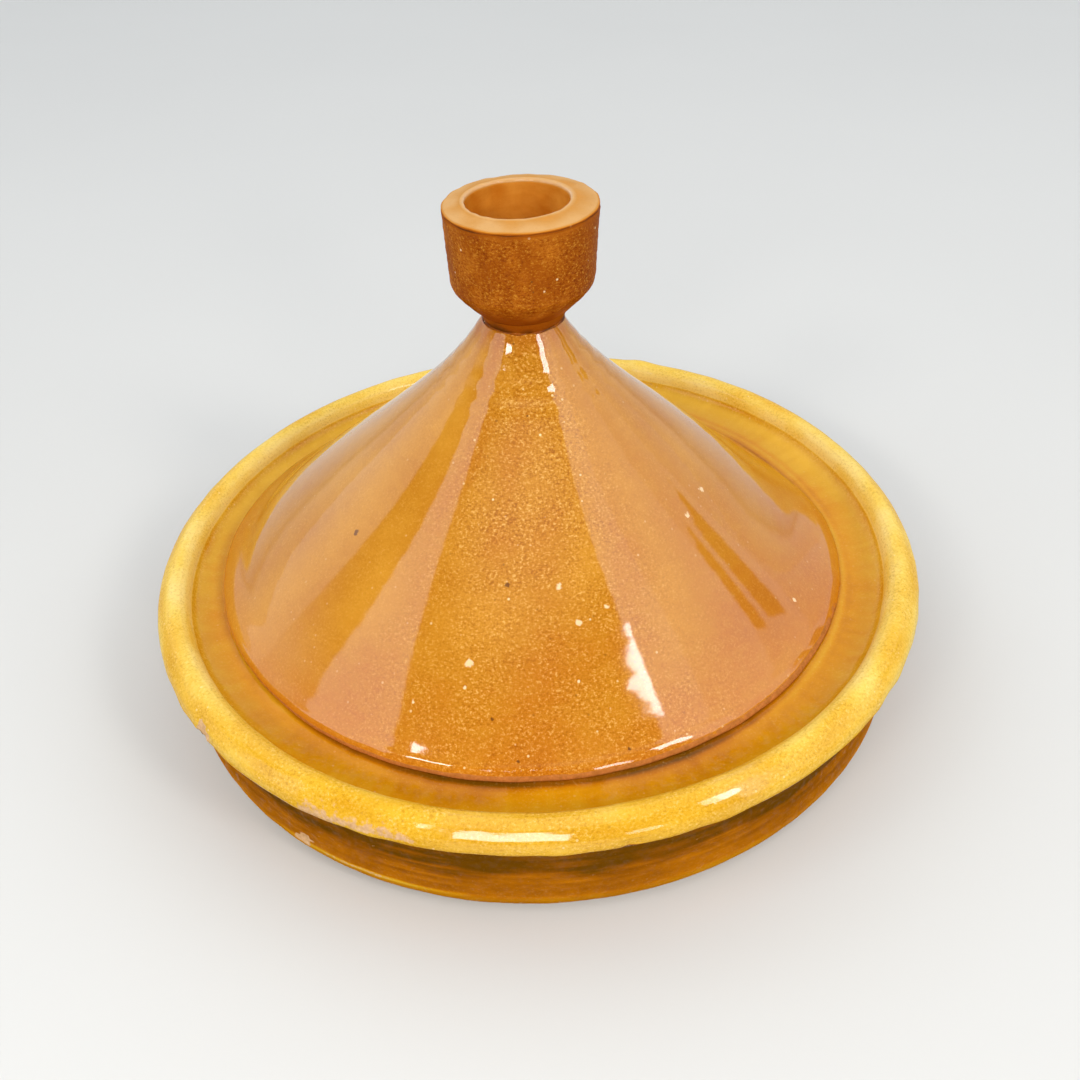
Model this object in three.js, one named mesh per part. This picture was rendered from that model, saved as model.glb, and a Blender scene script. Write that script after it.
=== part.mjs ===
// A small glazed earthenware tagine: a shallow dish with a rolled rim and an inner ledge, and a
// trumpet-shaped lid with a cup-shaped knob that was thrown apart and stuck on with clay slip.
// Millimetres, +Z up. The origin is the middle of the flat base, so the pot stands on z = 0.

import * as THREE from "three";

// Dish
const rimRadius = 100;
const rimWidth = 8.8;
const rimThickness = 8.6;
const dishHeight = 34;
const undercutDepth = 5;
const heelHeight = 7.1;
const heelFlare = 0.7;
const heelRounding = 1.2;
const baseInset = 12;
const galleryWidth = 8.8;
const galleryRounding = 2.9;
const ledgeDepth = 7.3;
const ledgeWidth = 8.4;
const ledgeRounding = 1.8;
const floorThickness = 7.2;
const bowlRounding = 22;

// Lid
const lidPlay = 0.9;
const seatGap = 0.3;
const lidHeight = 68.3;
const lidWall = 5.6;
const lipRounding = 1.6;
const lipFootWidth = 4.6;
const neckRadius = 10.6;
const neckRounding = 1;
const crownThickness = 6.4;

// Slip under the knob
const slipThickness = 0.9;
const slipRadius = 9.2;
const slipBulge = 0.3;

// Knob
const knobHeight = 27.3;
const knobRadius = 17.6;
const knobWaistRadius = 16.8;
const knobEdge = 0.6;
const collarFootRadius = 8.6;
const collarRadius = 10.6;
const collarHeight = 2.8;
const arrisRadius = 14.5;
const arrisHeight = 7.1;
const shoulderHeight = 12.2;
const cupRadius = 11.5;
const cupLip = 0.8;
const cupTaper = 0.6;
const cupDepth = 17.3;
const cupFloorRounding = 4;

// The lid's flank, from its lip up to its neck: radius from the neck out, and height from the foot up.
const flankRadiusShares = [1, 0.965, 0.898, 0.814, 0.733, 0.626, 0.495, 0.361, 0.24, 0.134, 0.051, 0];
const flankHeightShares = [0.023, 0.061, 0.102, 0.17, 0.256, 0.366, 0.483, 0.6, 0.717, 0.835, 0.937, 1];

// Fineness of the round shapes
const potSteps = 60;
const knobSteps = 36;
const flankSteps = 16;
const curveSteps = 6;

// Where the pieces meet, worked out from the sizes above
const rimInnerRadius = rimRadius - rimWidth;
const ledgeOuterRadius = rimInnerRadius - galleryWidth;
const ledgeInnerRadius = ledgeOuterRadius - ledgeWidth;
const ledgeHeight = dishHeight - ledgeDepth;
const lidRadius = ledgeOuterRadius - lidPlay;
const lidFoot = ledgeHeight + seatGap;
const lidTop = lidFoot + lidHeight;
const slipFoot = lidTop + seatGap;
const knobFoot = slipFoot + slipThickness + seatGap;

// A solid turned about Z from an outline that goes up the outside and starts and ends on the axis.
function turned(outline, steps) {
  const geometry = new THREE.LatheGeometry(outline, steps);
  geometry.rotateX(Math.PI / 2);
  return geometry;
}

// A named piece of glazed clay.
function piece(name, geometry, color, roughness) {
  const mesh = new THREE.Mesh(geometry, new THREE.MeshStandardMaterial({ color, roughness, metalness: 0 }));
  mesh.name = name;
  return mesh;
}

// From the base up the heel and the wall, over the rolled rim, down to the ledge and into the bowl.
function dishOutline() {
  const wallRadius = rimRadius - undercutDepth;
  const heelRadius = wallRadius + heelFlare;
  const rimCentre = rimRadius - rimWidth / 2;
  const rimMiddle = dishHeight - rimThickness / 2;
  const rimFoot = dishHeight - rimThickness;
  const path = new THREE.Path();
  path.moveTo(0, 0);
  path.lineTo(heelRadius - baseInset, 0);
  path.quadraticCurveTo(heelRadius - heelRounding, 0, heelRadius, heelHeight);
  path.lineTo(wallRadius, (heelHeight + rimFoot) / 2);
  path.quadraticCurveTo(wallRadius, rimFoot, rimCentre, rimFoot);
  path.absellipse(rimCentre, rimMiddle, rimWidth / 2, rimThickness / 2, -Math.PI / 2, Math.PI, false);
  path.quadraticCurveTo(rimInnerRadius - galleryRounding, ledgeHeight, ledgeOuterRadius, ledgeHeight);
  path.lineTo(ledgeInnerRadius + ledgeRounding, ledgeHeight);
  path.quadraticCurveTo(ledgeInnerRadius, ledgeHeight, ledgeInnerRadius, ledgeHeight - ledgeRounding);
  path.quadraticCurveTo(ledgeInnerRadius, floorThickness, ledgeInnerRadius - bowlRounding, floorThickness);
  path.lineTo(0, floorThickness);
  return path.getPoints(curveSteps);
}

// The lid's outer surface as one smooth line from its lip to its neck.
function flankCurve() {
  const flare = lidRadius - neckRadius;
  const points = flankRadiusShares.map((share, index) => {
    return new THREE.Vector2(neckRadius + share * flare, lidFoot + flankHeightShares[index] * lidHeight);
  });
  return new THREE.SplineCurve(points);
}

// Points on the inside of the lid, one wall's thickness in from the flank, from the crown down.
function lidInside(flank) {
  const crown = lidTop - crownThickness;
  const points = [];
  for (let step = flankSteps; step >= 0; step -= 1) {
    const outside = flank.getPoint(step / flankSteps);
    const along = flank.getTangent(step / flankSteps);
    const inside = new THREE.Vector2(outside.x - along.y * lidWall, outside.y + along.x * lidWall);
    if (inside.y < crown && inside.y > lidFoot + lipRounding) points.push(inside);
  }
  return points;
}

// From the crown down the inside, round the flat foot of the lip, up the flank and over the top.
function lidOutline() {
  const flank = flankCurve();
  const footRadius = lidRadius - lipRounding;
  return [
    new THREE.Vector2(0, lidTop - crownThickness),
    ...lidInside(flank),
    new THREE.Vector2(footRadius - lipFootWidth, lidFoot),
    new THREE.Vector2(footRadius, lidFoot),
    ...flank.getPoints(flankSteps),
    new THREE.Vector2(neckRadius - neckRounding, lidTop),
    new THREE.Vector2(0, lidTop),
  ];
}

// A thin round pad whose edge is pressed out a little.
function slipOutline() {
  const path = new THREE.Path();
  path.moveTo(0, slipFoot);
  path.lineTo(slipRadius - slipBulge, slipFoot);
  path.lineTo(slipRadius, slipFoot + slipThickness / 2);
  path.lineTo(slipRadius - slipBulge, slipFoot + slipThickness);
  path.lineTo(0, slipFoot + slipThickness);
  return path.getPoints(curveSteps);
}

// From the collar up past the arris and the straight side, over the flat top and down into the cup.
function knobOutline() {
  const top = knobFoot + knobHeight;
  const cupFloor = top - cupDepth;
  const cupFootRadius = cupRadius - cupTaper;
  const path = new THREE.Path();
  path.moveTo(0, knobFoot);
  path.lineTo(collarFootRadius, knobFoot);
  path.lineTo(collarRadius, knobFoot + collarHeight);
  path.lineTo(arrisRadius, knobFoot + arrisHeight);
  path.quadraticCurveTo(
    knobWaistRadius,
    knobFoot + (arrisHeight + shoulderHeight) / 2,
    knobWaistRadius,
    knobFoot + shoulderHeight,
  );
  path.lineTo(knobRadius, top - knobEdge);
  path.lineTo(knobRadius - knobEdge, top);
  path.lineTo(cupRadius + cupLip, top);
  path.quadraticCurveTo(cupRadius, top, cupRadius, top - cupLip);
  path.lineTo(cupFootRadius, cupFloor + cupFloorRounding);
  path.quadraticCurveTo(cupFootRadius, cupFloor, cupFootRadius - cupFloorRounding, cupFloor);
  path.lineTo(0, cupFloor);
  return path.getPoints(curveSteps);
}

// The lid with its knob lifts off the dish as one.
function lid() {
  const group = new THREE.Group();
  group.add(piece("lid_cone", turned(lidOutline(), potSteps), 0xcd822d, 0.2));
  group.add(piece("knob_slip_joint", turned(slipOutline(), knobSteps), 0x7a3d16, 0.6));
  group.add(piece("knob_cup", turned(knobOutline(), knobSteps), 0xb9691e, 0.2));
  return group;
}

const tagine = new THREE.Group();
tagine.add(piece("dish", turned(dishOutline(), potSteps), 0xdb9b28, 0.2));
tagine.add(lid());

export default tagine;
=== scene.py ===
"""Looks of a small glazed tagine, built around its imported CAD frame.

The dish, the lid, the knob and the slip that holds the knob are each turned on a wheel: a half
section is swept round Z, then made uneven as hand work is. Shapes are in millimetres, in the same
frame as the CAD, and become metres when a mesh is made. Angles go round from the camera's side.
"""

import math

import bpy
import numpy as np
from mathutils import Matrix, Vector


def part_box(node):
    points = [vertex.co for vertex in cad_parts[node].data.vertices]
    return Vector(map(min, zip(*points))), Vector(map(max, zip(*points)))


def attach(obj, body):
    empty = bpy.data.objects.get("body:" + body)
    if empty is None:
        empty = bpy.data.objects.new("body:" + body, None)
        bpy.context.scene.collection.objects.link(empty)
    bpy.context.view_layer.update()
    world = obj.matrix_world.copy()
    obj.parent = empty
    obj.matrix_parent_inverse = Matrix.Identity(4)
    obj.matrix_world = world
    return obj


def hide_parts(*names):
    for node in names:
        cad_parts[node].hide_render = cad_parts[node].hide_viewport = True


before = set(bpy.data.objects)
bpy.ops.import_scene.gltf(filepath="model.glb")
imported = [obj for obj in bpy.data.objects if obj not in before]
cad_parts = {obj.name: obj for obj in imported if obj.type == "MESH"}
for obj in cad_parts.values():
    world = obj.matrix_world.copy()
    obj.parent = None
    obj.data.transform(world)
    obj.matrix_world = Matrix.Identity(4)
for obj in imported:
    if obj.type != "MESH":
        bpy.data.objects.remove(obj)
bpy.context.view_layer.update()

MM = 0.001


def cad_size(node):
    """The radius, foot height and top height of a round CAD node, in millimetres."""
    low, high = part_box(node)
    return high.x / MM, low.z / MM, high.z / MM


# Sizes that the CAD frame holds
RIM_RADIUS, _, DISH_HEIGHT = cad_size("dish")
LID_RADIUS, LID_FOOT, LID_TOP = cad_size("lid_cone")
SLIP_RADIUS, SLIP_FOOT, _ = cad_size("knob_slip_joint")
KNOB_RADIUS, KNOB_FOOT, KNOB_TOP = cad_size("knob_cup")

# Dish
WALL_RADIUS = RIM_RADIUS - 5
HEEL_RADIUS = WALL_RADIUS + 0.7
HEEL_HEIGHT = 7.1
BASE_RADIUS = 83.7
BAND_HEIGHT = 14.2
GALLERY_FOOT_RADIUS = RIM_RADIUS - 17.6
LEDGE_INNER_RADIUS = GALLERY_FOOT_RADIUS - 8.4
LEDGE_HEIGHT = LID_FOOT - 0.3
FLOOR_HEIGHT = 7.2
BOWL_ROUNDING = 22

# The rolled rim: how far each place is in from its widest and down from its top, outside first
RIM_UNDERSIDE = [(4.3, 8.7), (2.6, 8.2), (1.1, 7.2), (0.3, 6.2)]
RIM_CORNER = [(0.05, 5.7), (0, 5.2), (0.1, 4.5)]
RIM_FACE = [(0.4, 3.5), (0.95, 2.6), (1.9, 1.6), (2.9, 0.75), (4.1, 0.15), (5.2, 0), (6.5, 0.35)]
RIM_INSIDE = [(7.6, 1.3), (8.3, 2.7), (8.55, 4)]

# Broken-out chips, by the angle and height of their middle and how far they reach each way
RIM_CHIP = {"at_angle": -51, "at_height": 29.5, "width": 2.6, "tall": 2.2, "seed": 11}
HEEL_CHIP = {"at_angle": -36.5, "at_height": HEEL_HEIGHT + 0.4, "width": 2.2, "tall": 1.6, "seed": 12}
RIM_NOTCH = {"at_angle": 9.3, "at_height": DISH_HEIGHT - 5, "width": 1.6, "tall": 1.0, "seed": 13}

# Where the rim's lower edge is worn: angle, reach and how much
RIM_WORN = [(32, 20, 0.36), (-38, 24, 0.42), (62, 10, 0.35)]

# Inside this radius the unevenness fades out, as its waves would crowd together at the axis
BOWL_SETTLES = 55

# Lid
NECK_RADIUS = 10.6
LIP_RADIUS = LID_RADIUS - 1.35
LID_WALL = 5.6
LIP_FOOT_WIDTH = 4.6
CROWN_THICKNESS = 6.4

# How far the flank runs out for each millimetre that it falls, at even steps from neck to lip
FLANK_SLOPES = [0.62, 0.82, 0.97, 1.08, 1.14, 1.15, 1.13, 1.11, 1.11, 1.11]
FLANK_FOOT = 3.6

# The finger marks round the neck, by their length along the flank and their height
NECK_RIPPLE = 5.2
NECK_RIPPLE_RISE = 0.08

# The rounded lip below the flank: how far each place is in from the lip's radius and over its foot
LIP = [(1.33, 2.8), (0.8, 2.2), (0.38, 1.6), (0.13, 1.1), (0, 0.6), (0.03, 0.25)]

# How far the thrown lid leans to the left at each height above its foot, and how much less in front
LEAN_HEIGHTS = [0, 3, 6, 11, 17, 25, 37, 53, 69]
LEANS = [0.6, 2.6, 3.6, 4.2, 4.0, 3.1, 1.9, 0.9, 0.5]
LEAN_EASE = 0.45
EASE_ANGLE = -28
EASE_REACH = 38

# How far the lip stands out and up at each angle round it, in degrees
LIP_ANGLES = [-180, -150, -125, -100, -80, -55, -20, 20, 60, 80, 98, 115, 130, 150, 180]
LIP_SPREADS = [0.9, 2.1, 3.4, 3.6, 2.3, 0.7, 0.3, 0, 0.8, 1.7, 1.8, -1.6, -1.2, 0.5, 0.9]
LIP_LIFTS = [0, 0.5, 1.0, 1.1, 0.7, 0.2, 0, 0, 0, 0, 0, 0, 0, 0, 0]
LIP_FADE = 9

# The height where the lid's glaze meets the knob's, over the slip
SEAM_HEIGHT = KNOB_FOOT + 0.3

# Knob, which leans a little to the right
KNOB_SHIFT = 0.1
KNOB_LEAN = 0.55
COLLAR_FOOT_RADIUS = 8.6
COLLAR_RADIUS = 10.4
COLLAR_HEIGHT = 2.9
KNOB_EDGE = 0.4
CUP_RADIUS = 11.5
CUP_RISE = 1.1
CUP_SHIFT = 0.7
CUP_TAPER = 0.6
CUP_DEPTH = 17.3
CUP_FLOOR_ROUNDING = 4
CUP_SETTLES = 8

# The knob's side from its collar up: radius and height over its foot
SHOULDER = [
    (10.9, 3.3), (12.2, 4.6), (13.6, 6), (14.7, 7.2),
    (15.6, 8.3), (16.3, 9.3), (16.7, 11), (16.85, 15),
]

# Fineness round each piece
DISH_TURNS = 360
LID_TURNS = 320
KNOB_TURNS = 220


# Shapes


class Outline:
    """A half section from the axis out, up the outside and back to the axis.

    Each point also carries how deep the glaze looks there, from 0 for thin and pale to 1 for
    pooled and dark, which in places also holds painted shade and painted light, and how dry it is: -1 looks
    wet, 0 is glossy, 0.5 dull, and 1 bare clay.
    """

    def __init__(self, radius, height, depth, dry=0):
        self.points = [(radius, height, depth, dry)]

    def through(self, places, depth, dry=0):
        """Adds places, with the depth and the dryness going over evenly to the ones given."""
        _, _, old_depth, old_dry = self.points[-1]
        for number, (radius, height) in enumerate(places, 1):
            share = number / len(places)
            now_deep = old_depth + (depth - old_depth) * share
            now_dry = old_dry + (dry - old_dry) * share
            self.points.append((radius, height, now_deep, now_dry))

    def line(self, radius, height, steps, depth, dry=0):
        start = np.array(self.points[-1][:2])
        end = np.array((radius, height))
        shares = np.arange(1, steps + 1) / steps
        self.through([start + (end - start) * s for s in shares], depth, dry)

    def bend(self, control, end, steps, depth, dry=0):
        start, control, end = (np.array(p, float) for p in (self.points[-1][:2], control, end))
        shares = np.arange(1, steps + 1) / steps
        places = [(1 - s) ** 2 * start + 2 * s * (1 - s) * control + s * s * end for s in shares]
        self.through(places, depth, dry)

    def smooth(self, places, steps, depth, dry=0):
        """A smooth line from the last point through the places."""
        self.through(smooth_curve([self.points[-1][:2], *places], steps), depth, dry)


def smooth_step(value):
    value = np.clip(value, 0, 1)
    return value * value * (3 - 2 * value)


def near(value, centre, reach):
    """1 at the centre, falling smoothly to 0 at the reach."""
    return smooth_step(1 - np.abs(value - centre) / reach)


def smooth_curve(places, steps):
    """Points on a smooth line through the places, without the first."""
    places = np.array(places, float)
    before = np.vstack([2 * places[0] - places[1], places[:-1]])
    after = np.vstack([places[1:], 2 * places[-1] - places[-2]])
    slopes = (after - before) / 2
    found = []
    for a, b, slope_a, slope_b in zip(places[:-1], places[1:], slopes[:-1], slopes[1:]):
        for s in np.arange(1, steps + 1) / steps:
            pull_a, pull_b = s * (1 - s) ** 2, s * s * (s - 1)
            found.append(a + (b - a) * (3 - 2 * s) * s * s + slope_a * pull_a + slope_b * pull_b)
    return found


def soft_line(value, places, heights, blur):
    """A height at each value, on the line through the places with its corners blurred away."""
    fine = np.linspace(places[0], places[-1], 721)
    reach = int(blur / (fine[1] - fine[0]))
    soft = np.interp(fine, places, heights)
    window = np.hanning(2 * reach + 3)[1:-1]
    padded = np.pad(soft, reach, mode="reflect", reflect_type="odd")
    soft = np.convolve(padded, window / window.sum(), mode="valid")
    return np.interp(value, fine, soft)


def degrees_round(angle):
    """The angle in degrees, from -180 to 180."""
    return (np.degrees(angle) + 180) % 360 - 180


def waves(along, angle, seed, length, radius, count=28):
    """A smooth random height, about -1 to 1, with bumps of the given length on a turned surface."""
    random = np.random.default_rng(seed)
    height = np.zeros(np.broadcast(along, angle).shape)
    most_turns = max(2, round(2 * math.pi * radius / length))
    for _ in range(count):
        turns = random.integers(0, most_turns)
        rate = random.uniform(-1, 1) * 2 * math.pi / length
        height += np.cos(turns * angle + rate * along + random.uniform(0, 2 * math.pi))
    return height / math.sqrt(count)


def rings(along, angle, seed, length):
    """Throwing marks: ridges that climb slowly as they go round."""
    random = np.random.default_rng(seed)
    height = 0
    for share in (1, 0.62, 0.37):
        phase = random.uniform(0, 2 * math.pi)
        height = height + np.cos(2 * math.pi * along / (length * share) + angle + phase) * share
    return height


def smooth_mesh(name, corners, faces):
    """A smooth mesh object in the scene, from its corners in metres and its faces."""
    mesh = bpy.data.meshes.new(name)
    mesh.from_pydata(corners, [], [tuple(int(i) for i in face) for face in faces])
    mesh.shade_smooth()
    made = bpy.data.objects.new(name, mesh)
    bpy.context.scene.collection.objects.link(made)
    return made


def turned(name, outline, turns, uneven, bend):
    """A closed smooth mesh: the outline swept round Z, raised by uneven and then shifted by bend.

    uneven gives, for every point, the height to add along the surface's normal, the glaze depth
    with the painted shade and light that it carries, and the dryness to add, and how strongly the clay's
    flecks show.
    """
    half = np.array(outline.points)
    place, depth, dry = half[:, :2], half[:, 2], half[:, 3]
    step = np.gradient(place, axis=0)
    normal = np.c_[step[:, 1], -step[:, 0]] / np.linalg.norm(step, axis=1)[:, None]
    along = np.r_[0, np.cumsum(np.linalg.norm(np.diff(place, axis=0), axis=1))]

    angle = np.arange(turns) * 2 * math.pi / turns
    rise, more_depth, more_dry, flecks = uneven(along[:, None], angle[None, :], place)
    radius = place[:, :1] + normal[:, :1] * rise
    height = place[:, 1:] + normal[:, 1:] * rise
    x, y, z = bend(radius * np.sin(angle), -radius * np.cos(angle), height + 0 * angle, angle)
    grid = np.stack([x, y, z], axis=2)
    ends = [grid[0].mean(axis=0), grid[-1].mean(axis=0)]
    corners = np.vstack([ends[0], grid[1:-1].reshape(-1, 3), ends[1]]) * MM

    ring_count = len(place) - 2
    last = len(corners) - 1
    first = 1 + np.arange(turns)
    onward = np.roll(first, -1)
    faces = [(0, b, a) for a, b in zip(first, onward)]
    for ring in range(ring_count - 1):
        low = ring * turns
        faces += zip(first + low, onward + low, onward + low + turns, first + low + turns)
    top = (ring_count - 1) * turns
    faces += [(last, a, b) for a, b in zip(first + top, onward + top)]

    piece = smooth_mesh(name, corners.tolist(), faces)
    marks = {
        "glaze_depth_and_shade": depth[:, None] + more_depth,
        "dryness": dry[:, None] + more_dry,
        "flecks": flecks,
    }
    for label, value in marks.items():
        value = value + 0 * x
        value = np.r_[value[0, 0], value[1:-1].ravel(), value[-1, 0]]
        kept = piece.data.attributes.new(label, "FLOAT", "POINT")
        kept.data.foreach_set("value", value.astype(np.float32))
    return piece


def unbent(x, y, z, angle):
    return x, y, z


def chip(along, angle, place, at_angle, at_height, width, tall, seed):
    """How deep a broken-out chip is at each point, from 0 to 1, with a ragged edge."""
    radius = place[:, :1]
    across = np.radians(degrees_round(angle - math.radians(at_angle))) * radius
    up = place[:, 1:] - at_height
    outside = radius > WALL_RADIUS - 3
    ragged = 1 + 0.35 * waves(along, angle, seed, 2.2, RIM_RADIUS)
    away = np.hypot(across / width, up / tall)
    return smooth_step((1.15 - away / ragged) * 2.5) * outside


# Dish


def rim(places):
    return [(RIM_RADIUS - inward, DISH_HEIGHT - down) for inward, down in places]


def dish_outline():
    ledge = LEDGE_HEIGHT
    cove_control = (GALLERY_FOOT_RADIUS + 7.6, ledge)
    outline = Outline(0, 0, 0.5, 1)
    outline.line(BASE_RADIUS, 0, 12, 0.5, 1)
    outline.bend((HEEL_RADIUS - 1.2, 0), (HEEL_RADIUS - 0.1, HEEL_HEIGHT - 0.9), 16, 0.6, 0.5)
    outline.line(HEEL_RADIUS, HEEL_HEIGHT, 3, 0.66, 0.46)
    outline.line(HEEL_RADIUS - 0.1, HEEL_HEIGHT + 0.9, 3, 0.74, 0.46)
    # Up the wall the glaze darkens into the rim's underside: partly pooled glaze, partly painted shade under
    # the overhanging rim
    outline.line(WALL_RADIUS + 0.05, BAND_HEIGHT, 20, 0.8, 0.46)
    outline.line(WALL_RADIUS, BAND_HEIGHT + 1.2, 5, 0.92, 0.46)
    outline.line(WALL_RADIUS, DISH_HEIGHT - 10.5, 14, 0.98, 0.46)
    outline.smooth(rim(RIM_UNDERSIDE), 6, 0.95, 0.35)
    outline.smooth(rim(RIM_CORNER[:1]), 3, 0.2, 0.35)
    outline.smooth(rim(RIM_CORNER[1:]), 4, 0.12, 0.25)
    outline.smooth(rim(RIM_FACE[:3]), 5, 0.23)
    outline.smooth(rim(RIM_FACE[3:]), 5, 0.08)
    outline.smooth(rim(RIM_INSIDE), 6, 0.02)
    outline.line(RIM_RADIUS - 8.75, DISH_HEIGHT - 4.5, 2, 0.42)
    outline.bend(cove_control, (GALLERY_FOOT_RADIUS + 0.6, ledge), 24, 0.62)
    # At the gallery's foot a dark ring: pooled glaze, and painted shadow under the lid's lip
    outline.line(GALLERY_FOOT_RADIUS - 0.5, ledge, 4, 0.72)
    outline.line(GALLERY_FOOT_RADIUS - 1.4, ledge, 4, 0.92)
    outline.line(LEDGE_INNER_RADIUS + 1.8, ledge, 8, 0.7)
    outline.bend((LEDGE_INNER_RADIUS, ledge), (LEDGE_INNER_RADIUS, ledge - 1.8), 5, 0.45)
    bowl_foot = (LEDGE_INNER_RADIUS - BOWL_ROUNDING, FLOOR_HEIGHT)
    outline.bend((LEDGE_INNER_RADIUS, FLOOR_HEIGHT), bowl_foot, 26, 0.72)
    outline.line(0, FLOOR_HEIGHT, 30, 0.6)
    return outline


def dish_unevenness(along, angle, place):
    """See turned. Each near and smooth_step picks out a zone, in millimetres or degrees."""
    radius, height = place[:, :1], place[:, 1:]
    turn = degrees_round(angle)
    off_base = smooth_step(height / 6)
    outside = smooth_step((radius - WALL_RADIUS + 6) / 3)
    wall = near(height, 16, 10) * outside
    under = near(height, 20, 6) * outside
    on_rim = smooth_step((height - DISH_HEIGHT + 10) / 3) * outside
    corner = near(height, DISH_HEIGHT - 5.8, 1.5) * outside
    gallery = near(height, LEDGE_HEIGHT + 1, 3) * smooth_step((radius - GALLERY_FOOT_RADIUS) / 2)
    gallery = gallery * (1 - outside)
    # shaded picks out that ring of painted shadow under the lid's lip
    shaded = near(height, LEDGE_HEIGHT, 1) * near(radius, GALLERY_FOOT_RADIUS - 1.4, 2.4)

    rise = 0.14 * waves(along, angle, 3, 90, RIM_RADIUS, 14) * off_base
    rise = rise + wall * 0.06 * rings(along, angle, 5, 3.1)
    rise = rise + under * 0.05 * rings(along, angle, 6, 1.3)
    rise = rise + 0.05 * waves(along, angle, 8, 8, RIM_RADIUS) * off_base
    rise = rise + corner * 0.1 * waves(along * 0, angle, 9, 9, RIM_RADIUS)
    rim_chip = chip(along, angle, place, **RIM_CHIP)
    heel_chip = chip(along, angle, place, **HEEL_CHIP)
    notch = chip(along, angle, place, **RIM_NOTCH)
    rise = rise - 0.7 * rim_chip - 0.6 * heel_chip - 0.45 * notch
    rise = rise + 0.5 * near(turn, 157, 4) * on_rim

    depth = 0.03 * waves(along, angle, 21, 30, RIM_RADIUS)
    depth = depth + on_rim * (0.06 * waves(along * 3, angle, 22, 22, RIM_RADIUS) + 0.17 * near(turn, -4, 70))
    depth = depth + gallery * 0.035 * waves(along * 0.2, angle, 23, 3.5, RIM_RADIUS)
    # Painted shading: the gallery is darker in front, paler at the sides and back
    depth = depth - gallery * 0.22 * smooth_step((np.abs(turn) - 50) / 80)
    # The painted shadow ring under the lid's lip fades away from the front
    depth = depth - shaded * 0.35 * smooth_step((np.abs(turn) - 15) / 45)
    depth = depth + wall * 0.05 * waves(along * 4, angle, 24, 16, RIM_RADIUS)
    streaks = rings(along, angle, 27, 2.7) * (0.7 + 0.4 * waves(along * 0.3, angle, 28, 30, RIM_RADIUS))
    depth = depth + wall * 0.04 * streaks
    worn = sum(share * near(turn, at, reach) for at, reach, share in RIM_WORN)
    wet = smooth_step((12.5 - np.abs(turn + 2.5)) / 3) + near(turn, 24, 9)
    dull = smooth_step((10 - np.abs(turn + 24)) / 3)
    dry = rim_chip + heel_chip + corner * worn + gallery * 0.5 * smooth_step((70 - np.abs(turn)) / 40)
    dry = dry + on_rim * (1 - corner) * (0.5 * dull - 0.9 * wet)
    # A paler line on the heel at the front left: partly bare clay, partly a painted highlight on the ridge
    heel = near(height, HEEL_HEIGHT, 0.9) * outside * near(turn, -26, 20)
    dry, depth = dry + 0.2 * heel, depth - 0.45 * heel
    settled = smooth_step(radius / BOWL_SETTLES)
    return rise * settled, depth * settled, dry, 0.1 + 0.4 * on_rim - 0.07 * wall


# Lid


def flank():
    """The outside of the lid from its neck to where its lip starts, with the slopes added up."""
    falls = np.linspace(0, LID_TOP - LID_FOOT - FLANK_FOOT, 66)
    places = np.linspace(0, falls[-1], len(FLANK_SLOPES))
    slopes = soft_line(falls, places, FLANK_SLOPES, 9)
    out = np.r_[0, np.cumsum(np.diff(falls) * (slopes[1:] + slopes[:-1]) / 2)]
    return [(NECK_RADIUS + o, LID_TOP - f) for o, f in zip(out, falls)]


def lid_inside(outside):
    """The inside of the lid, one wall's thickness in from the outside, from the crown down."""
    outside = np.array(outside)[::2]
    step = np.gradient(outside, axis=0)
    inward = np.c_[step[:, 1], -step[:, 0]] / np.linalg.norm(step, axis=1)[:, None]
    inside = outside + inward * LID_WALL
    keep = (inside[:, 1] < LID_TOP - CROWN_THICKNESS) & (inside[:, 1] > LID_FOOT + 1.6) & (inside[:, 0] > 1)
    return [tuple(p) for p in inside[keep]]


def lid_outline():
    outside = flank()
    lip = [(LIP_RADIUS - inward, LID_FOOT + up) for inward, up in LIP]
    foot_radius = LIP_RADIUS - 0.5
    outline = Outline(0, LID_TOP - CROWN_THICKNESS, 0.6)
    outline.through(lid_inside(outside), 0.55)
    outline.line(foot_radius - LIP_FOOT_WIDTH, LID_FOOT, 6, 0.5, 1)
    outline.line(foot_radius, LID_FOOT, 6, 0.5, 1)
    outline.through([lip[5], lip[4]], 0.6, 0.95)
    edge = smooth_curve([*lip[4::-1], outside[-1], outside[-2]], 5)[:25]
    outline.through(edge[:8], 0.6, 0.85)
    outline.through(edge[8:12], 0.64)
    outline.through(edge[12:], 0.54)
    outline.through(outside[-2:2:-1], 0.5)
    outline.through(outside[2::-1], 0.6)
    outline.line(SLIP_RADIUS + 0.15, SEAM_HEIGHT - 0.1, 6, 0.62)
    outline.line(SLIP_RADIUS - 0.15, SEAM_HEIGHT, 3, 0.95, 0.3)
    outline.line(SLIP_RADIUS - 1, LID_TOP + 0.2, 3, 0.8, 0.5)
    outline.line(0, LID_TOP, 8, 0.6, 1)
    return outline


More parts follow.
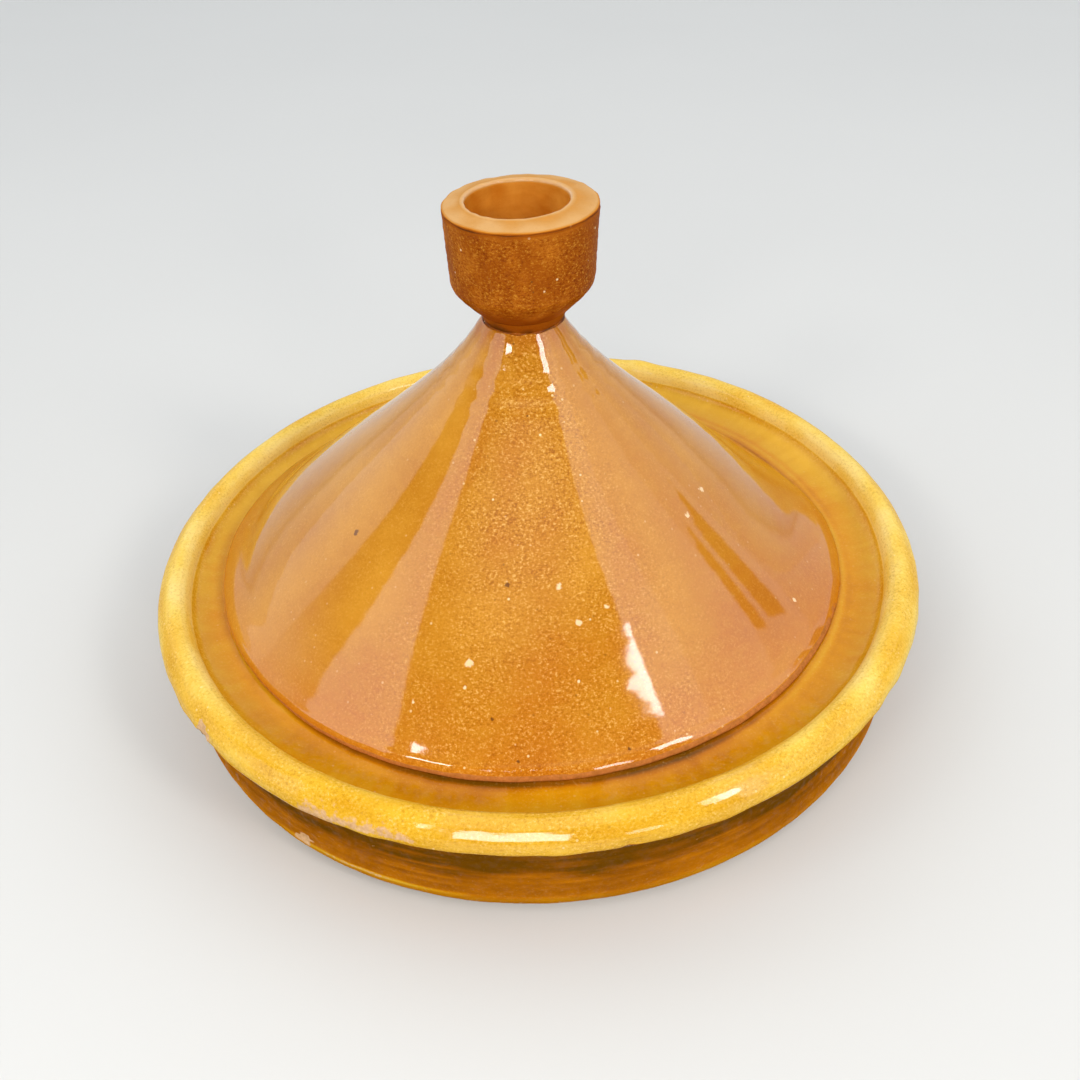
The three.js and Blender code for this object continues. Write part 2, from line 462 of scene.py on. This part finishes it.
def lid_unevenness(along, angle, place):
    height = place[:, 1:]
    turn = degrees_round(angle)
    body = smooth_step((height - LID_FOOT - 1) / 4) * smooth_step((LID_TOP - height) / 3)
    edge = near(height, LID_FOOT + 0.8, 2.5)
    rise = body * 0.03 * waves(along, angle, 31, 60, LID_RADIUS, 12)
    rise = rise + body * 0.006 * rings(along, angle, 32, 6.5)
    ripple = np.cos(2 * math.pi * along / NECK_RIPPLE + 0.4 * np.sin(angle))
    rise = rise + near(height, LID_TOP - 8, 10) * NECK_RIPPLE_RISE * ripple
    rise = rise + edge * 0.08 * waves(along, angle, 33, 9, LID_RADIUS)
    depth = 0.05 * waves(along, angle, 34, 26, LID_RADIUS) + 0.1 * smooth_step((52 - height) / 24) * body
    # Painted light: the lid is paler on its left, towards the light
    depth = depth - 0.09 * body * smooth_step((-turn - 28) / 30)
    dry = edge * (0.12 * waves(along, angle, 35, 7, LID_RADIUS) - 0.9 * smooth_step((np.abs(turn) - 55) / 30))
    dry = dry + 0.5 * near(height, LID_FOOT + 2.3, 2.2) * smooth_step((10.5 - np.abs(turn + 5)) / 3)
    flecks = 0.2 + (0.5 + 0.25 * smooth_step((height - 50) / 20)) * smooth_step((44 - np.abs(turn - 2)) / 34)
    return rise, depth, dry, flecks


def lid_bend(x, y, z, angle):
    """The lid as it came off the wheel: leaning, with a lip that isn't quite round or level."""
    rise = z - LID_FOOT
    turn = degrees_round(angle)
    lean = soft_line(rise, LEAN_HEIGHTS, LEANS, 5) * (1 - LEAN_EASE * near(turn, EASE_ANGLE, EASE_REACH))
    fade = smooth_step(1 - rise / LIP_FADE)
    spread = fade * soft_line(turn, LIP_ANGLES, LIP_SPREADS, 14)
    x = x - lean + spread * np.sin(angle)
    y = y - spread * np.cos(angle)
    return x, y, z + fade * soft_line(turn, LIP_ANGLES, LIP_LIFTS, 14)


def on_lid(angle, height):
    """A place on the lid's flank, in metres, by its angle in degrees and its height."""
    places = np.array(flank())[::-1]
    radius = np.interp(height, places[:, 1], places[:, 0])
    turn = math.radians(angle)
    place = lid_bend(radius * math.sin(turn), -radius * math.cos(turn), height, np.array(turn))
    return tuple(float(c) * MM for c in place)


# Coarse grains of clay that show through the lid's glaze: angle, height and radius
PALE_SPECKS = [
    (-12.1, 44.7, 1.0),
    (-12.4, 41.1, 0.55),
    (-22.3, 37.8, 0.6),
    (10.5, 41.4, 0.45),
    (8.6, 55.6, 0.9),
    (12.2, 50.0, 0.9),
    (19.3, 51.2, 0.7),
    (53.9, 57.3, 1.0),
    (66.4, 58.0, 0.9),
    (63.1, 33.9, 0.7),
]
DARK_SPECKS = [(-55.5, 57.0, 0.8), (-6.6, 36.9, 0.5), (-2.8, 30.9, 0.6), (15.3, 30.5, 0.7), (-5.2, 56.4, 0.6)]


# Knob and the slip under it


def knob_bend(x, y, z, angle):
    """The knob set a little askew, with its cup a little to the left in it."""
    share = (z - KNOB_FOOT) / (KNOB_TOP - KNOB_FOOT)
    radius = np.hypot(x, y)
    in_cup = smooth_step((14.5 - radius) / 2.5) * smooth_step((share - 0.3) / 0.3)
    return x + KNOB_SHIFT + KNOB_LEAN * share - CUP_SHIFT * in_cup, y, z


def slip_outline():
    top = SEAM_HEIGHT + 0.45
    outline = Outline(0, SLIP_FOOT, 0.95, 0.3)
    outline.line(SLIP_RADIUS - 1.1, SLIP_FOOT, 8, 0.95, 0.3)
    outline.line(SLIP_RADIUS - 0.2, SEAM_HEIGHT - 0.35, 4, 0.9, 0.3)
    outline.bend((SLIP_RADIUS + 0.5, SEAM_HEIGHT - 0.25), (SLIP_RADIUS + 0.35, SEAM_HEIGHT), 5, 0.88, 0.3)
    outline.bend((SLIP_RADIUS + 0.25, top), (SLIP_RADIUS - 0.5, top), 6, 0.88, 0.3)
    outline.line(0, top, 8, 0.9, 0.3)
    return outline


def slip_unevenness(along, angle, place):
    edge = smooth_step((place[:, :1] - SLIP_RADIUS + 0.6) / 0.7)
    rise = edge * (0.16 * waves(along * 0.3, angle, 51, 4, SLIP_RADIUS, 14) - 0.05)
    depth = 0.08 * waves(along, angle, 52, 5, SLIP_RADIUS, 12) - 0.04
    return rise, depth, 0, 0.3


def knob_outline():
    top = KNOB_TOP
    cup_top = top + CUP_RISE
    cup_floor = top - CUP_DEPTH
    cup_foot = CUP_RADIUS - CUP_TAPER
    shoulder = [(radius, KNOB_FOOT + up) for radius, up in SHOULDER]
    outline = Outline(0, KNOB_FOOT, 0.8)
    # The collar is dark at its foot and under the shoulder: painted shade under the knob's body, with a
    # painted reflection of the lid
    outline.line(COLLAR_FOOT_RADIUS, KNOB_FOOT, 8, 0.9)
    outline.line(COLLAR_FOOT_RADIUS + 0.6, KNOB_FOOT + 0.4, 2, 0.86)
    outline.bend((COLLAR_RADIUS - 0.5, KNOB_FOOT + 1.6), (COLLAR_RADIUS, KNOB_FOOT + COLLAR_HEIGHT), 10, 0.68)
    outline.line(COLLAR_RADIUS + 0.1, KNOB_FOOT + COLLAR_HEIGHT + 0.15, 2, 0.97)
    outline.line(*shoulder[0], 3, 0.7)
    outline.smooth(shoulder[1:4], 5, 0.55)
    outline.smooth(shoulder[4:], 6, 0.6)
    outline.line(KNOB_RADIUS - 0.15, top - KNOB_EDGE - 0.6, 16, 0.6)
    outline.line(KNOB_RADIUS - 0.25, top - KNOB_EDGE, 4, 0.93)
    outline.bend((KNOB_RADIUS + 0.05, top), (KNOB_RADIUS - 0.8, top + 0.25), 6, 0.06)
    outline.bend((KNOB_RADIUS - 3.4, cup_top - 0.25), (CUP_RADIUS + 1.5, cup_top - 0.15), 12, 0.24)
    # The cup's inner lip is pale: glaze thin at the edge, partly a painted highlight
    outline.bend((CUP_RADIUS + 1.1, cup_top), (CUP_RADIUS + 0.7, cup_top), 4, 0, -0.5)
    outline.bend((CUP_RADIUS + 0.15, cup_top), (CUP_RADIUS + 0.05, cup_top - 0.55), 5, 0.1, -1)
    outline.line(CUP_RADIUS, cup_top - 0.9, 2, 0.44, -1)
    outline.line(CUP_RADIUS - 0.05, cup_top - 1.5, 3, 0.46, -1)
    outline.line(cup_foot, cup_floor + CUP_FLOOR_ROUNDING, 20, 0.36, -1)
    outline.bend((cup_foot, cup_floor), (cup_foot - CUP_FLOOR_ROUNDING, cup_floor), 8, 0.65, -1)
    outline.line(0, cup_floor, 8, 0.7, -1)
    return outline


def knob_unevenness(along, angle, place):
    radius, height = place[:, :1], place[:, 1:]
    body = smooth_step((height - KNOB_FOOT) / 3)
    side = smooth_step((radius - 13) / 2) * smooth_step((KNOB_TOP - 0.6 - height) / 1.5)
    edge = near(height, KNOB_TOP - 0.6, 1.2) * smooth_step((radius - 15) / 1.5)
    rise = body * 0.10 * waves(along * 0, angle, 41, 40, KNOB_RADIUS, 5)
    rise = rise + side * 0.03 * rings(along, angle, 42, 2.6)
    rise = rise + body * 0.05 * waves(along, angle, 43, 4.5, KNOB_RADIUS)
    rise = rise + edge * 0.10 * waves(along, angle, 45, 3, KNOB_RADIUS)
    depth = 0.06 * waves(along, angle, 44, 9, KNOB_RADIUS)
    depth = depth + side * 0.035 * waves(along * 0.5, angle, 46, 4, KNOB_RADIUS)
    # Painted shade: the knob's side is darker on the right, away from the light
    depth = depth + side * 0.13 * smooth_step((degrees_round(angle) - 15) / 45)
    settled = smooth_step(radius / CUP_SETTLES)
    return rise * settled, depth * settled, 0, 0.1 + 0.9 * side


# Materials


class Shader:
    """A node tree, with a short call for each kind of node used here."""

    def __init__(self, tree, coordinates):
        self.tree = tree
        self.place = self.node("ShaderNodeTexCoord").outputs[coordinates]

    def node(self, kind, **settings):
        made = self.tree.nodes.new(kind)
        for key, value in settings.items():
            setattr(made, key, value)
        return made

    def feed(self, socket, value):
        """Links an output to the socket, or sets the socket to a plain value."""
        if isinstance(value, bpy.types.NodeSocket):
            self.tree.links.new(value, socket)
        else:
            socket.default_value = value

    def attribute(self, name):
        return self.node("ShaderNodeAttribute", attribute_name=name).outputs["Fac"]

    def noise(self, size, detail=2, roughness=0.5, squash=1.0):
        """Noise from 0 to 1 with lumps of about the given size in millimetres, squashed along Z."""
        place = self.node("ShaderNodeVectorMath", operation="MULTIPLY")
        self.feed(place.inputs[0], self.place)
        place.inputs[1].default_value = (1, 1, squash)
        made = self.node("ShaderNodeTexNoise")
        self.feed(made.inputs["Vector"], place.outputs["Vector"])
        made.inputs["Scale"].default_value = 1 / (size * MM)
        made.inputs["Detail"].default_value = detail
        made.inputs["Roughness"].default_value = roughness
        return made.outputs["Fac"]

    def cells(self, size):
        """Scattered cells of about the given size: distance from each middle, and a random number."""
        made = self.node("ShaderNodeTexVoronoi")
        self.feed(made.inputs["Vector"], self.place)
        made.inputs["Scale"].default_value = 1 / (size * MM)
        split = self.node("ShaderNodeSeparateColor")
        self.feed(split.inputs["Color"], made.outputs["Color"])
        return made.outputs["Distance"], split.outputs["Red"]

    def spots(self, places):
        """1 at each of the ragged spots, given by place in metres and radius in millimetres."""
        ragged = self.noise(1.2, 2)
        most = 0.0
        for place, radius in places:
            away = self.node("ShaderNodeVectorMath", operation="DISTANCE")
            self.feed(away.inputs[0], self.place)
            away.inputs[1].default_value = place
            away = self.math("DIVIDE", away.outputs["Value"], radius * MM)
            away = self.math("MULTIPLY_ADD", ragged, 2.6, self.math("SUBTRACT", away, 1.3))
            most = self.math("MAXIMUM", most, self.between(away, 0.9, 0.5, 0.0, 0.8))
        return most

    def math(self, operation, a, b=0.0, c=0.0):
        made = self.node("ShaderNodeMath", operation=operation)
        for socket, value in zip(made.inputs, (a, b, c)):
            self.feed(socket, value)
        return made.outputs["Value"]

    def between(self, value, low, high, to_low=0.0, to_high=1.0):
        """value's place between low and high, eased, as a number between the two given."""
        made = self.node("ShaderNodeMapRange", interpolation_type="SMOOTHSTEP")
        given = (value, low, high, to_low, to_high)
        for key, number in zip(("Value", "From Min", "From Max", "To Min", "To Max"), given):
            self.feed(made.inputs[key], number)
        return made.outputs["Result"]

    def ramp(self, value, stops):
        made = self.node("ShaderNodeValToRGB")
        self.feed(made.inputs["Fac"], value)
        ramp = made.color_ramp
        while len(ramp.elements) < len(stops):
            ramp.elements.new(1)
        for element, (position, colour) in zip(ramp.elements, stops):
            element.position = position
            element.color = (*colour, 1)
        return made.outputs["Color"]

    def mix(self, share, a, b, blend="MIX"):
        made = self.node("ShaderNodeMix", data_type="RGBA", blend_type=blend)
        self.feed(made.inputs["Factor"], share)
        for socket, value in ((made.inputs[6], a), (made.inputs[7], b)):
            self.feed(socket, (*value, 1) if isinstance(value, tuple) else value)
        return made.outputs[2]

    def bump(self, height, distance, strength):
        """height in units of distance, which is in millimetres."""
        made = self.node("ShaderNodeBump")
        made.inputs["Strength"].default_value = strength
        made.inputs["Distance"].default_value = distance * MM
        self.feed(made.inputs["Height"], height)
        return made.outputs["Normal"]


def new_material(name):
    """A new material, the short calls for its nodes, and its surface."""
    material = bpy.data.materials.new(name)
    material.use_nodes = True
    return material, Shader(material.node_tree, "Object"), material.node_tree.nodes["Principled BSDF"]


def glaze(name, depths, grains, clay, gloss, coat, specks=()):
    """A clear honey glaze over speckled clay.

    depths is the colour at each depth of glaze, whose dark and pale stops also paint shade and light where
    the depth carries them, grains that of the fine grains, clay the two tones of the clay where it is bare,
    gloss how rough the glaze's own surface is, coat how much of it reflects, and specks the coarse grains
    that show through it, with their colour.
    """
    material, s, surface = new_material(name)
    depth, dry, flecks = (s.attribute(label) for label in ("glaze_depth_and_shade", "dryness", "flecks"))

    clouds = s.math("SUBTRACT", s.noise(19, 3, 0.6), 0.5)
    mottle = s.math("SUBTRACT", s.noise(4.2, 3, 0.6, 2.2), 0.5)
    depth = s.math("MULTIPLY_ADD", clouds, 0.16, depth)
    depth = s.math("MULTIPLY_ADD", mottle, 0.16, depth)
    colour = s.ramp(depth, depths)

    patches = s.between(s.noise(7, 2), 0.35, 0.6, 0.6, 1.0)
    strength = s.math("MULTIPLY", flecks, patches)
    grain = s.noise(0.68, 4, 0.74, 1.4)
    dark = s.math("MULTIPLY", s.between(grain, 0.50, 0.36), strength)
    colour = s.mix(dark, colour, GRAIN_SHADE, "MULTIPLY")
    bright = s.math("MULTIPLY", s.between(grain, 0.53, 0.66, 0.0, 0.8), strength)
    colour = s.mix(bright, colour, grains)

    sparse = s.math("MULTIPLY", flecks, flecks)
    away, chance = s.cells(2.4)
    dot = s.math("MULTIPLY", s.between(away, 0.15, 0.08, 0.0, 0.8), s.math("GREATER_THAN", chance, 0.84))
    colour = s.mix(s.math("MULTIPLY", dot, sparse), colour, DARK_DOT)
    away, chance = s.cells(2.9)
    dot = s.math("MULTIPLY", s.between(away, 0.13, 0.06, 0.0, 0.9), s.math("GREATER_THAN", chance, 0.6))
    colour = s.mix(s.math("MULTIPLY", dot, flecks), colour, PALE_DOT)
    for places, tint in specks:
        colour = s.mix(s.spots(places), colour, tint)

    ragged = s.math("MULTIPLY_ADD", s.math("SUBTRACT", s.noise(1.6, 3, 0.7), 0.5), 0.7, dry)
    open_clay = s.between(ragged, 0.58, 0.74)
    bare = s.ramp(s.noise(1.1, 4, 0.7), list(zip((0.3, 0.7), clay)))
    colour = s.mix(open_clay, colour, bare)

    s.feed(surface.inputs["Base Color"], colour)
    s.feed(surface.inputs["Roughness"], s.between(s.noise(2.5, 2), 0.3, 0.7, 0.42, 0.56))
    surface.inputs["Specular IOR Level"].default_value = 0.0
    surface.inputs["Coat Roughness"].default_value = gloss
    surface.inputs["Coat IOR"].default_value = 1.5
    shine = s.between(ragged, -0.4, -0.8, 0.0, 1.0 - coat)
    shine = s.math("ADD", shine, s.between(ragged, 0.25, 0.5, coat, 0.0))
    s.feed(surface.inputs["Coat Weight"], shine)
    lumps = s.math("ADD", s.noise(0.8, 2, 0.6), s.math("MULTIPLY", s.noise(2.6, 2), 1.5))
    s.feed(surface.inputs["Normal"], s.bump(lumps, 0.03, 0.6))
    skin = s.math("ADD", s.math("MULTIPLY", s.noise(1.1, 1), 0.3), s.noise(5, 1))
    s.feed(surface.inputs["Coat Normal"], s.bump(skin, 0.02, 0.5))
    return material


# The colour at each depth of glaze; the dark stops also paint shade under the dish's rim, at the gallery's
# foot, at the knob's collar and on its right side, and the pale ones paint light on the lid's left, the heel
# and the cup's lip
DISH_DEPTHS = [
    (0.0, (0.90, 0.635, 0.165)),
    (0.1, (0.87, 0.565, 0.082)),
    (0.22, (0.80, 0.44, 0.03)),
    (0.4, (0.70, 0.35, 0.015)),
    (0.56, (0.65, 0.255, 0.003)),
    (0.7, (0.50, 0.155, 0.002)),
    (0.82, (0.31, 0.09, 0.002)),
    (0.95, (0.16, 0.057, 0.001)),
]
LID_DEPTHS = [
    (0.1, (0.76, 0.41, 0.11)),
    (0.35, (0.66, 0.28, 0.022)),
    (0.52, (0.555, 0.210, 0.011)),
    (0.64, (0.52, 0.167, 0.007)),
    (0.8, (0.43, 0.12, 0.005)),
    (0.95, (0.20, 0.055, 0.004)),
]
KNOB_DEPTHS = [
    (0.05, (0.66, 0.35, 0.12)),
    (0.2, (0.60, 0.27, 0.06)),
    (0.36, (0.63, 0.235, 0.026)),
    (0.5, (0.50, 0.144, 0.008)),
    (0.64, (0.36, 0.085, 0.003)),
    (0.8, (0.33, 0.075, 0.003)),
    (0.95, (0.12, 0.032, 0.003)),
]

# The colours of the fine grains that show in each glaze
RIM_GRAINS = (0.97, 0.72, 0.25)
LID_GRAINS = (0.93, 0.54, 0.14)
KNOB_GRAINS = (0.66, 0.30, 0.025)

# What every glaze shares: the tint of its shaded grains, and its dark and pale dots
GRAIN_SHADE = (0.60, 0.44, 0.24)
DARK_DOT = (0.16, 0.055, 0.008)
PALE_DOT = (1.0, 0.76, 0.36)

# The coarse grains in the lid
PALE_SPECK = (0.96, 0.68, 0.36)
DARK_SPECK = (0.12, 0.035, 0.006)

# The two tones of each clay where it is bare
DISH_CLAY = ((0.58, 0.31, 0.13), (0.84, 0.53, 0.27))
LID_CLAY = ((0.33, 0.115, 0.02), (0.54, 0.19, 0.045))


# Pieces

dish = turned("dish_body", dish_outline(), DISH_TURNS, dish_unevenness, unbent)
lid = turned("lid_body", lid_outline(), LID_TURNS, lid_unevenness, lid_bend)
slip = turned("slip_ring", slip_outline(), KNOB_TURNS, slip_unevenness, knob_bend)
knob = turned("knob_body", knob_outline(), KNOB_TURNS, knob_unevenness, knob_bend)

specks = [
    ([(on_lid(angle, height), size) for angle, height, size in places], tint)
    for places, tint in ((PALE_SPECKS, PALE_SPECK), (DARK_SPECKS, DARK_SPECK))
]
dish_finish = glaze("dish_glaze_finish", DISH_DEPTHS, RIM_GRAINS, DISH_CLAY, gloss=0.08, coat=0.42)
lid_finish = glaze("lid_glaze_finish", LID_DEPTHS, LID_GRAINS, LID_CLAY, gloss=0.05, coat=1.0, specks=specks)
knob_finish = glaze("knob_glaze_finish", KNOB_DEPTHS, KNOB_GRAINS, LID_CLAY, gloss=0.10, coat=0.1)
slip_finish = glaze("slip_finish", KNOB_DEPTHS, KNOB_GRAINS, LID_CLAY, gloss=0.2, coat=0.3)

for piece, finish, body, node, slot in (
    (dish, dish_finish, "dish", "dish", "dish_glaze"),
    (lid, lid_finish, "lid", "lid_cone", "lid_glaze"),
    (slip, slip_finish, "lid", "knob_slip_joint", "slip"),
    (knob, knob_finish, "lid", "knob_cup", "knob_glaze"),
):
    piece.data.materials.append(finish)
    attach(piece, body)
    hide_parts(node)


# Studio: a pale round floor that curves up into a low backdrop, surroundings in soft grey sectors
# that are darker in front, and a few small lamps

# The floor, in metres: flat to COVE_START, then curving up into the backdrop
COVE_START = 6
COVE_WIDTH = 2
COVE_HEIGHT = 1.5
COVE_STEPS = 10
FLOOR_TURNS = 96

# The floor's colour as it is seen, how much darker its faint patches are and how large they are in
# millimetres, and the colour by which it throws light back
FLOOR_COLOUR = (0.70, 0.667, 0.61)
FLOOR_SHADE = 0.98
FLOOR_PATCH = 240
FLOOR_BOUNCE = (0.25, 0.23, 0.21)

# The backdrop glows where it is seen, in full from this height on
BACKDROP_STRENGTH = 0.9
BACKDROP_FOOT = COVE_HEIGHT / 4

# The surroundings: the direction in degrees where each sector starts, how bright it is, and how far
# its edge leans for each degree that it goes down, from LEAN_FROM and for LEAN_REACH degrees
BEHIND_LIGHT = 1.0
SECTORS = [
    (-160, 1.32, 0),
    (-101, 0.1, 0),
    (-82.3, 2.15, 0),
    (-67.5, 0.1, 1.15),
    (50.7, 2.15, 0),
    (70, 1.7, 0),
    (97, 1.3, 0),
    (114, 1.0, 0),
    (146, BEHIND_LIGHT, 0),
]
LEAN_FROM = 49
LEAN_REACH = 14
EDGE_SOFTNESS = 1.5
LIGHT_TINT = (0.88, 1.0, 1.17)

# Boxes of directions in degrees: left, right, low and high. The dark panel grows paler towards the
# floor between two elevations, and the bars are darker by a share
DARK_PANEL = (-101, -82.3, -90, 90)
PANEL_FADE = (34, 16)
PANEL_FOOT = 1.0
DARK_BARS = [(97.3, 101.2, -90, 24), (103.4, 110, -90, 21)]
BAR_SHADE = 0.9

# Overhead, and the elevations between which the sectors go over to it
CEILING_LIGHT = 0.92
CEILING_FADE = (46, 62)

# The lamps: azimuth and elevation in degrees, distance, width and height in metres, and power
LAMPS = [
    ("lamp_front", -10, 30.5, 0.75, 0.34, 0.15, 1.9),
    ("window_left", -38.5, 34.8, 1.6, 0.34, 0.19, 4.0),
    ("window_right", 46, 36.3, 1.6, 0.25, 0.36, 4.6),
    ("window_low_right", 22.5, 20, 1.6, 0.24, 0.34, 3.2),
]


def make_floor():
    turns = np.arange(FLOOR_TURNS) * 2 * math.pi / FLOOR_TURNS
    climb = np.linspace(0, math.pi / 2, COVE_STEPS + 1)
    cove = np.c_[COVE_START + COVE_WIDTH * np.sin(climb), COVE_HEIGHT * (1 - np.cos(climb))]
    section = [(COVE_START / 3, 0), *cove]
    corners = [(0, 0, 0)]
    for radius, height in section:
        corners += [(radius * math.sin(t), -radius * math.cos(t), height) for t in turns]
    first = 1 + np.arange(FLOOR_TURNS)
    onward = np.roll(first, -1)
    faces = [(0, a, b) for a, b in zip(first, onward)]
    for ring in range(len(section) - 1):
        low, high = ring * FLOOR_TURNS, (ring + 1) * FLOOR_TURNS
        faces += zip(first + low, first + high, onward + high, onward + low)
    floor = smooth_mesh("floor", corners, faces)
    material, s, surface = new_material("floor_finish")
    path = s.node("ShaderNodeLightPath")
    seen = s.math("MAXIMUM", path.outputs["Is Camera Ray"], path.outputs["Is Glossy Ray"])
    seen = s.math("MAXIMUM", seen, path.outputs["Is Transmission Ray"])
    darker = tuple(c * FLOOR_SHADE for c in FLOOR_COLOUR)
    tone = s.ramp(s.noise(FLOOR_PATCH, 2), [(0.3, FLOOR_COLOUR), (0.7, darker)])
    split = s.node("ShaderNodeSeparateXYZ")
    s.feed(split.inputs["Vector"], s.place)
    raised = s.math("MULTIPLY", seen, s.between(split.outputs["Z"], 0.0, BACKDROP_FOOT))
    colour = s.mix(seen, FLOOR_BOUNCE, tone)
    s.feed(surface.inputs["Base Color"], s.mix(raised, colour, (0.0, 0.0, 0.0)))
    s.feed(surface.inputs["Emission Strength"], s.math("MULTIPLY", raised, BACKDROP_STRENGTH))
    surface.inputs["Emission Color"].default_value = (1, 1, 1, 1)
    surface.inputs["Roughness"].default_value = 0.9
    surface.inputs["Specular IOR Level"].default_value = 0.0
    floor.data.materials.append(material)


def make_world():
    world = bpy.data.worlds.new("room")
    world.use_nodes = True
    bpy.context.scene.world = world
    s = Shader(world.node_tree, "Generated")
    split = s.node("ShaderNodeSeparateXYZ")
    s.feed(split.inputs["Vector"], s.place)
    x, y, z = split.outputs
    azimuth = s.math("MULTIPLY", s.math("ARCTAN2", x, s.math("MULTIPLY", y, -1.0)), 180 / math.pi)
    elevation = s.math("MULTIPLY", s.math("ARCSINE", z), 180 / math.pi)

    half = EDGE_SOFTNESS / 2

    def panel(left, right, low, high):
        """1 inside a box of directions in degrees, falling to 0 round it."""
        share = s.between(azimuth, left - half, left + half)
        share = s.math("MULTIPLY", share, s.between(azimuth, right + half, right - half))
        share = s.math("MULTIPLY", share, s.between(elevation, low - EDGE_SOFTNESS, low))
        return s.math("MULTIPLY", share, s.between(elevation, high + EDGE_SOFTNESS, high))

    light = before = BEHIND_LIGHT
    below = s.math("SUBTRACT", LEAN_FROM, elevation)
    below = s.math("MINIMUM", s.math("MAXIMUM", below, 0.0), LEAN_REACH)
    for edge, after, lean in SECTORS:
        across = s.math("SUBTRACT", azimuth, s.math("MULTIPLY", below, lean))
        light = s.math("ADD", light, s.between(across, edge - half, edge + half, 0.0, after - before))
        before = after
    faded = s.between(elevation, *PANEL_FADE, 0.0, PANEL_FOOT)
    light = s.math("ADD", light, s.math("MULTIPLY", panel(*DARK_PANEL), faded))
    bars = s.math("ADD", *(panel(*bar) for bar in DARK_BARS))
    light = s.math("MULTIPLY", light, s.math("SUBTRACT", 1.0, s.math("MULTIPLY", bars, BAR_SHADE)))
    ceiling = s.between(elevation, *CEILING_FADE)
    colour = s.node("ShaderNodeCombineColor")
    for socket, tint in zip(colour.inputs, LIGHT_TINT):
        tone = s.math("MULTIPLY", light, tint)
        tone = s.math("ADD", tone, s.math("MULTIPLY", ceiling, s.math("SUBTRACT", CEILING_LIGHT, tone)))
        s.feed(socket, tone)
    background = world.node_tree.nodes["Background"]
    s.feed(background.inputs["Color"], colour.outputs["Color"])
    background.inputs["Strength"].default_value = 1.0


def lamp(name, azimuth, elevation, distance, width, height, power):
    """A soft rectangular lamp facing the pot, by its direction from the pot."""
    data = bpy.data.lights.new(name, "AREA")
    data.shape = "RECTANGLE"
    data.size, data.size_y = width, height
    data.energy = power
    light = bpy.data.objects.new(name, data)
    a, e = math.radians(azimuth), math.radians(elevation)
    away = Vector((math.sin(a) * math.cos(e), -math.cos(a) * math.cos(e), math.sin(e)))
    light.location = away * distance + Vector((0, 0, DISH_HEIGHT * MM))
    light.rotation_euler = away.to_track_quat("Z", "Y").to_euler()
    bpy.context.scene.collection.objects.link(light)


make_floor()
make_world()
for given in LAMPS:
    lamp(*given)


# Camera, where the photograph was taken from: distances in millimetres, angles in degrees

CAMERA_DISTANCE = 231.07
CAMERA_ABOVE_RIM = 178.54
CAMERA_PITCH = 38.2871
CAMERA_YAW = 0.3128
CAMERA_ROLL = -2.8431
FOCAL_PIXELS = 1083
IMAGE_PIXELS = 1080
SENSOR = 36


def make_camera():
    data = bpy.data.cameras.new("camera")
    data.sensor_width = SENSOR
    data.lens = SENSOR * FOCAL_PIXELS / IMAGE_PIXELS
    data.clip_start = 0.01
    pitch, yaw, roll = (math.radians(a) for a in (CAMERA_PITCH, CAMERA_YAW, CAMERA_ROLL))
    forward = Vector((math.sin(yaw) * math.cos(pitch), math.cos(yaw) * math.cos(pitch), -math.sin(pitch)))
    right = forward.cross(Vector((0, 0, 1))).normalized()
    up = right.cross(forward)
    level_right = right * math.cos(roll) + up * math.sin(roll)
    level_up = up * math.cos(roll) - right * math.sin(roll)
    place = Matrix((level_right, level_up, -forward)).transposed().to_4x4()
    place.translation = Vector((0, -CAMERA_DISTANCE, DISH_HEIGHT + CAMERA_ABOVE_RIM)) * MM
    camera = bpy.data.objects.new("camera", data)
    camera.matrix_world = place
    bpy.context.scene.collection.objects.link(camera)
    bpy.context.scene.camera = camera


make_camera()
bpy.context.scene.view_settings.view_transform = "Standard"

bpy.context.view_layer.update()
